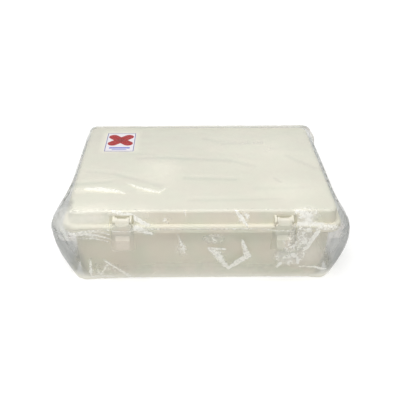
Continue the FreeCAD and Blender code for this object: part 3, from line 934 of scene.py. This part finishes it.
# Vertex numbers: the top grid first, then the loops of the lid's side under its border
numbers = np.arange(top.shape[0] * top.shape[1]).reshape(top.shape[:2])
border = np.concatenate([
    numbers[:-1, 0], numbers[-1, :-1], numbers[:0:-1, -1], numbers[0, :0:-1],
])
side_rows = len(lid_walls) - 1
lid_numbers = numbers.size + np.arange(side_rows * loop_count).reshape(side_rows, loop_count)
lid_points = np.concatenate([top.reshape(-1, 3), lid_walls[1:].reshape(-1, 3)])
lid_ways = np.concatenate([np.zeros((numbers.size, 3)), lid_out[1:].reshape(-1, 3)])
top_quads = np.stack([
    numbers[:-1, :-1], numbers[1:, :-1], numbers[1:, 1:], numbers[:-1, 1:],
], axis=2).reshape(-1, 4)
lid_quads = [top_quads]
above_row = border
for row in lid_numbers:
    lid_quads.append(strip(above_row, row))
    above_row = row
lid_quads = np.concatenate(lid_quads)

# The folds are long across the top and upright on the walls, and hardly rise on the top
wall_slack = 0.5 * MM
top_slack = 0.12 * MM
top_inset = 9 * MM
to_edge = np.minimum(
    rim_half_x - top_inset - abs(top[..., 0]), rim_half_y - top_inset - abs(top[..., 1]),
)
fade = ramp(to_edge, 0, 12 * MM).ravel()


def wall_lay(walls, fold_length, fold_height):
    """Where each point of the walls lies in the pattern of folds, whose usual size is given."""
    rows = len(walls)
    return np.stack([
        np.tile(round_place / MM / fold_length, rows),
        walls[..., 2].ravel() / MM / fold_height + 40,
        np.full(rows * loop_count, 9.0),
    ], axis=1)


lid_slack = np.concatenate([top_slack * fade, np.full(side_rows * loop_count, wall_slack)])
top_lay = top.reshape(-1, 3) / MM * np.array([1 / 90, 1 / 30, 0])
lid_lay = np.concatenate([top_lay, wall_lay(lid_walls[1:], 16, 26)])
lid_marks = film_marks(lid_points)
lid_points = lid_points + lid_ways * stand_off(lid_points)[:, None]
lid_points[:, 2] += rear_lift(lid_points)
on_wall = np.linalg.norm(lid_ways, axis=1) > 0.5
lid_slack = lid_slack + 0.1 * stand_off(lid_points) * on_wall
lid_centres = lid_points[lid_quads].mean(axis=1)
lid_film = film_piece(
    "lid_film", "lid", lid_points, lid_quads[~left_open(lid_centres)], lid_lay, lid_slack,
    lid_marks,
)

base_numbers = np.arange(base_walls.shape[0] * loop_count).reshape(-1, loop_count)
base_points = base_walls.reshape(-1, 3)
base_quads = np.concatenate([strip(a, b) for a, b in zip(base_numbers[:-1], base_numbers[1:])])
base_lay = wall_lay(base_walls, 11, 48)
base_marks = film_marks(base_points)
base_reach = stand_off(base_points)
base_points = base_points + base_out.reshape(-1, 3) * base_reach[:, None]
base_slack = wall_slack + 0.07 * base_reach
base_centres = base_points[base_quads].mean(axis=1)
base_film = film_piece(
    "base_film", "base", base_points, base_quads[~left_open(base_centres)], base_lay, base_slack,
    base_marks,
)

# Over each latch the film is a flap that moves with it, as (outwards from the rim, 0, height
# above the ledge) in millimetres, down the head, the plate, the shoulder and the tab
flap_course = (
    (4.3, 0.0, 6.8), (4.9, 0.0, 4.9), (5.0, 0.0, -8.6),
    (7.7, 0.0, -13.2), (7.8, 0.0, -24.4), (7.2, 0.0, -25.8),
)
flap_half = 12.0 * MM
flap_flat = 9.0 * MM
flap_bend = 2.4 * MM
flap_pitch = 1.5 * MM
ledge = 75.0 * MM
plate_shade = 0.13
for body, latch_x in (("left_latch", -85.5 * MM), ("right_latch", 85.5 * MM)):
    course = polyline(flap_course, flap_pitch)
    wide = round(2 * flap_half / flap_pitch)
    over = np.linspace(-flap_half, flap_half, wide + 1)
    bend = flap_bend * ramp(abs(over), flap_flat, flap_half) ** 2
    outwards_by = course[:, 0][:, None] - bend[None, :]
    flap_points = np.stack([
        np.broadcast_to(latch_x + over, outwards_by.shape),
        -rim_half_y - outwards_by,
        np.broadcast_to((ledge + course[:, 2])[:, None], outwards_by.shape),
    ], axis=2)
    flap_numbers = np.arange(outwards_by.size).reshape(outwards_by.shape)
    flap_quads = np.stack([
        flap_numbers[:-1, :-1], flap_numbers[1:, :-1], flap_numbers[1:, 1:], flap_numbers[:-1, 1:],
    ], axis=2).reshape(-1, 4)
    flap_points = flap_points.reshape(-1, 3)
    flap_lay = flap_points / MM * np.array([1 / 8, 1 / 20, 1 / 20])
    pressed_back = np.stack([
        flap_points[:, 0], np.full(len(flap_points), -rim_half_y - 0.9 * MM), flap_points[:, 2],
    ], axis=1)
    flap_marks = film_marks(pressed_back)
    # Painted shade across the latch plate, between its head and its tab
    flap_marks["haze_and_shade"] += plate_shade * bell(flap_points[:, 2] / MM, 67, 6)
    film_piece(
        body + "_film", body, flap_points, flap_quads, flap_lay,
        np.full(len(flap_points), wall_slack), flap_marks,
    )

top_area = 4 * (rim_half_x - 8 * MM) * (rim_half_y - 8 * MM)
girth = 2 * (front_run + side_run)
lid_drop = 22 * MM
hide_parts("lid_bag_film")
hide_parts("base_bag_film")
top_area + girth * lid_drop


# Floor
# A plain white sheet that runs out of sight. The camera and mirror-like surfaces see it lit to
# white, with the box's shadow left on it.
floor_size = 8.0
floor_height = -0.2 * MM
bpy.ops.mesh.primitive_plane_add(size=floor_size, location=(0, 0, floor_height))
floor = bpy.context.object
floor.name = "floor"


def seen(graph):
    """1 for what the camera, a reflection or a clear film sees, and 0 for plain light."""
    rays = graph.tree.nodes.new("ShaderNodeLightPath").outputs
    camera_ray = Socket(graph, rays["Is Camera Ray"])
    glossy_ray = Socket(graph, rays["Is Glossy Ray"])
    return camera_ray.most(glossy_ray).most(Socket(graph, rays["Is Transmission Ray"]))


paper_white = Finish("floor_white")
floor_x, floor_y = paper_white.place.parts()[:2]
from_box = (floor_x * floor_x + floor_y * floor_y) ** 0.5
lit = paper_white.node("ShaderNodeBsdfDiffuse", {}, {"Color": (0.9, 0.9, 0.9, 1.0)})
glow_by_box = 0.28
glow_far_off = 0.70
glow_rise = (glow_far_off - glow_by_box) * from_box.rise(0.25, 1.3)
lift = paper_white.node("ShaderNodeEmission", {}, {
    "Color": (1.0, 1.0, 1.0, 1.0), "Strength": glow_by_box + glow_rise,
})
lifted = paper_white.node("ShaderNodeAddShader", {}, [lit, lift])
floor_shader = paper_white.node("ShaderNodeMixShader", {}, [seen(paper_white), lit, lifted])
paper_white.tree.links.new(floor_shader.source, paper_white.output.inputs["Surface"])
floor.data.materials.append(paper_white.material)


# Light
# Soft light comes from all round and from a wide overhead lamp, and a smaller lamp to the front
# left puts the glints on the film.
room_light = 0.38
world = bpy.data.worlds.new("studio")
world.use_nodes = True
scene.world = world
sky = Graph(world.node_tree)
sky_output = sky.tree.nodes.new("ShaderNodeOutputWorld")
strength = room_light + (1.0 - room_light) * seen(sky)
sky_shader = sky.node("ShaderNodeBackground", {}, {
    "Color": (1.0, 1.0, 1.0, 1.0), "Strength": strength,
})
sky.tree.links.new(sky_shader.source, sky_output.inputs["Surface"])


def lamp(name, place, size, energy):
    """A square lamp that faces the middle of the box."""
    data = bpy.data.lights.new(name, "AREA")
    data.size = size
    data.energy = energy
    made = bpy.data.objects.new(name, data)
    made.location = place
    made.rotation_euler = (-Vector(place)).to_track_quat("-Z", "Y").to_euler()
    scene.collection.objects.link(made)


lamp("overhead", place=(-0.1, -0.3, 1.4), size=1.2, energy=13.8)
lamp("front_left", place=(-0.7, -0.8, 1.2), size=0.3, energy=1.6)

scene.view_settings.view_transform = "Standard"
